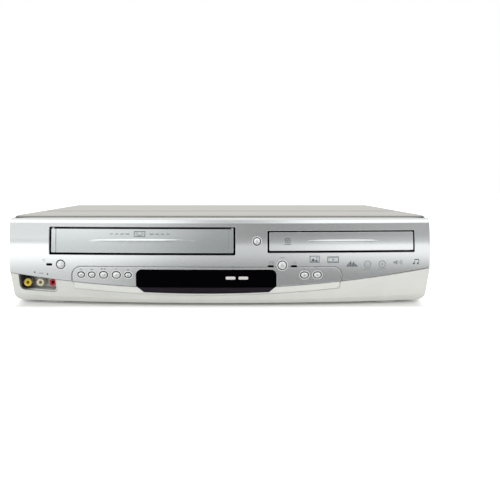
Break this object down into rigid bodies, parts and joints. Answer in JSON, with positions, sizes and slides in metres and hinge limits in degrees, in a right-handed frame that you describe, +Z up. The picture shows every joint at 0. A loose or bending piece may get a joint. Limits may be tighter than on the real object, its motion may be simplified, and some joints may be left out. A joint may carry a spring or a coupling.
{
  "type": "disc player and video cassette recorder",
  "caption": "Tabletop disc player and video cassette recorder with a bowed front, hinged cassette door, sliding disc tray, press buttons and front phono sockets.",
  "frame": {"origin": "bottom centre of the bounding box, on the surface that the feet stand on", "axes": "+X to the right seen from the front, -Y out of the front, +Z up"},
  "size_m": [0.435, 0.2404, 0.094],
  "materials": {
    "cover_paint": "satin powder paint",
    "front_silver": "metallic silver paint",
    "skirt_grey": "fine satin",
    "door_silver": "metallic silver paint",
    "window_black": "polished",
    "trim_black": "matt",
    "chassis_steel": "zinc plated",
    "foot_grey": "satin",
    "screw_steel": "plated",
    "cup_grey": "satin",
    "jack_metal": "nickel plated",
    "jack_yellow": "moulded",
    "jack_cream": "moulded",
    "jack_red": "moulded",
    "button_white": "satin",
    "board_green": "solder resist",
    "board_tan": "paper laminate",
    "part_black": "moulded",
    "display_glass": "clear",
    "drum_aluminium": "turned",
    "mechanism_grey": "plated",
    "roller_rubber": "ground",
    "tray_grey": "satin",
    "gear_white": "moulded",
    "transformer_yellow": "taped winding"
  },
  "bodies": {
    "case": {"top_cover": "cover_paint", "front_bezel": "front_silver", "front_skirt": "skirt_grey", "slot_trims": "trim_black", "display_window": "window_black", "indicator_lenses": "window_black", "base_chassis": "chassis_steel", "rear_panel": "chassis_steel", "feet": "foot_grey", "case_screws": "screw_steel", "jack_cup": "cup_grey", "front_jack_barrels": "jack_metal", "front_jack_video": "jack_yellow", "front_jack_left": "jack_cream", "front_jack_right": "jack_red", "front_board": "board_green", "display_module": "display_glass", "door_spring": "screw_steel", "cassette_cage": "chassis_steel", "deck_plate": "chassis_steel", "drum_base": "drum_aluminium", "capstan_motor": "mechanism_grey", "guide_posts": "screw_steel", "tape_heads": "mechanism_grey", "loading_motors": "mechanism_grey", "loader_frame": "part_black", "traverse_frame": "chassis_steel", "spindle_motor": "drum_aluminium", "clamp_bridge": "chassis_steel", "main_board": "board_tan", "board_parts": "part_black", "power_transformer": "transformer_yellow", "rear_sockets": "part_black", "rear_jack_barrels": "jack_metal", "rear_jack_inserts": "jack_cream"},
    "door": {"cassette_door": "door_silver"},
    "carriage": {"carriage_slide": "part_black"},
    "holder": {"cassette_holder": "chassis_steel"},
    "drum": {"drum_rotor": "drum_aluminium"},
    "capstan": {"capstan_flywheel": "drum_aluminium"},
    "pinch_arm": {"pinch_arm": "mechanism_grey"},
    "pinch_roller": {"pinch_roller": "roller_rubber"},
    "supply_reel": {"supply_reel": "part_black"},
    "take_up_reel": {"take_up_reel": "part_black"},
    "tray": {"disc_tray": "tray_grey", "tray_front": "door_silver"},
    "tray_gear": {"tray_gear": "gear_white"},
    "turntable": {"turntable": "part_black"},
    "pickup": {"optical_pickup": "mechanism_grey"},
    "clamp": {"clamp_disc": "gear_white"},
    "power_button": {"power_button": "button_white"},
    "open_close_button": {"open_close_button": "button_white"},
    "output_button": {"output_button": "button_white"},
    "rewind_button": {"rewind_button": "button_white"},
    "fast_forward_button": {"fast_forward_button": "button_white"},
    "stop_eject_button": {"stop_eject_button": "button_white"},
    "play_button": {"play_button": "button_white"},
    "record_button": {"record_button": "button_white"},
    "disc_stop_button": {"disc_stop_button": "button_white"},
    "disc_play_button": {"disc_play_button": "button_white"}
  },
  "joints": [
    {"name": "door_hinge", "type": "hinge", "parent": "case", "child": "door", "pos_m": [-0.07965, -0.11172, 0.0861], "axis": [0.9994, -0.0337, 0], "range_deg": [0, 90], "stiffness_Nm_per_rad": 0.02, "springref_deg": -28.65},
    {"name": "carriage_travel", "type": "slide", "parent": "case", "child": "carriage", "axis": [0, 1, 0], "range_m": [0, 0.05]},
    {"name": "holder_drop", "type": "slide", "parent": "carriage", "child": "holder", "axis": [0, 0, -1], "range_m": [0, 0.023]},
    {"name": "drum_spin", "type": "hinge", "parent": "case", "child": "drum", "pos_m": [-0.07965, 0.058, 0.0345], "axis": [0, -0.1045, 0.9945], "continuous": true},
    {"name": "capstan_spin", "type": "hinge", "parent": "case", "child": "capstan", "pos_m": [-0.02765, 0.041, 0.0255], "axis": [0, 0, 1], "continuous": true},
    {"name": "pinch_arm_swing", "type": "hinge", "parent": "case", "child": "pinch_arm", "pos_m": [-0.00665, 0.058, 0.0255], "axis": [0, 0, 1], "range_deg": [0, 35]},
    {"name": "pinch_roller_spin", "type": "hinge", "parent": "pinch_arm", "child": "pinch_roller", "pos_m": [-0.02943, 0.06554, 0.0315], "axis": [0, 0, 1], "continuous": true},
    {"name": "supply_reel_spin", "type": "hinge", "parent": "case", "child": "supply_reel", "pos_m": [-0.12615, -0.028, 0.0255], "axis": [0, 0, 1], "continuous": true},
    {"name": "take_up_reel_spin", "type": "hinge", "parent": "case", "child": "take_up_reel", "pos_m": [-0.03315, -0.028, 0.0255], "axis": [0, 0, 1], "continuous": true},
    {"name": "tray_slide", "type": "slide", "parent": "case", "child": "tray", "axis": [0, -1, 0], "range_m": [0, 0.14]},
    {"name": "tray_gear_turn", "type": "hinge", "parent": "case", "child": "tray_gear", "pos_m": [0.07685, -0.085, 0.0635], "axis": [0, 0, 1], "range_deg": [-1, 893]},
    {"name": "disc_spin", "type": "hinge", "parent": "case", "child": "turntable", "pos_m": [0.12485, -0.044, 0.0635], "axis": [0, 0, 1], "continuous": true},
    {"name": "pickup_travel", "type": "slide", "parent": "case", "child": "pickup", "axis": [0, 1, 0], "range_m": [0, 0.034]},
    {"name": "clamp_spin", "type": "hinge", "parent": "case", "child": "clamp", "pos_m": [0.12485, -0.044, 0.0735], "axis": [0, 0, 1], "continuous": true},
    {"name": "power_button_press", "type": "slide", "parent": "case", "child": "power_button", "axis": [0, 1, 0], "range_m": [0, 0.0008], "stiffness_N_per_m": 600, "springref_m": -0.0004},
    {"name": "open_close_button_press", "type": "slide", "parent": "case", "child": "open_close_button", "axis": [0, 1, 0], "range_m": [0, 0.0008], "stiffness_N_per_m": 600, "springref_m": -0.0004},
    {"name": "output_button_press", "type": "slide", "parent": "case", "child": "output_button", "axis": [0, 1, 0], "range_m": [0, 0.0008], "stiffness_N_per_m": 600, "springref_m": -0.0004},
    {"name": "rewind_button_press", "type": "slide", "parent": "case", "child": "rewind_button", "axis": [0, 1, 0], "range_m": [0, 0.0008], "stiffness_N_per_m": 600, "springref_m": -0.0004},
    {"name": "fast_forward_button_press", "type": "slide", "parent": "case", "child": "fast_forward_button", "axis": [0, 1, 0], "range_m": [0, 0.0008], "stiffness_N_per_m": 600, "springref_m": -0.0004},
    {"name": "stop_eject_button_press", "type": "slide", "parent": "case", "child": "stop_eject_button", "axis": [0, 1, 0], "range_m": [0, 0.0008], "stiffness_N_per_m": 600, "springref_m": -0.0004},
    {"name": "play_button_press", "type": "slide", "parent": "case", "child": "play_button", "axis": [0, 1, 0], "range_m": [0, 0.0008], "stiffness_N_per_m": 600, "springref_m": -0.0004},
    {"name": "record_button_press", "type": "slide", "parent": "case", "child": "record_button", "axis": [0, 1, 0], "range_m": [0, 0.0008], "stiffness_N_per_m": 600, "springref_m": -0.0004},
    {"name": "disc_stop_button_press", "type": "slide", "parent": "case", "child": "disc_stop_button", "axis": [0, 1, 0], "range_m": [0, 0.0008], "stiffness_N_per_m": 600, "springref_m": -0.0004},
    {"name": "disc_play_button_press", "type": "slide", "parent": "case", "child": "disc_play_button", "axis": [0, 1, 0], "range_m": [0, 0.0008], "stiffness_N_per_m": 600, "springref_m": -0.0004}
  ],
  "couplings": [
    {"joint": "tray_gear_turn", "follows": "tray_slide", "rad_per_m": 111.11}
  ]
}
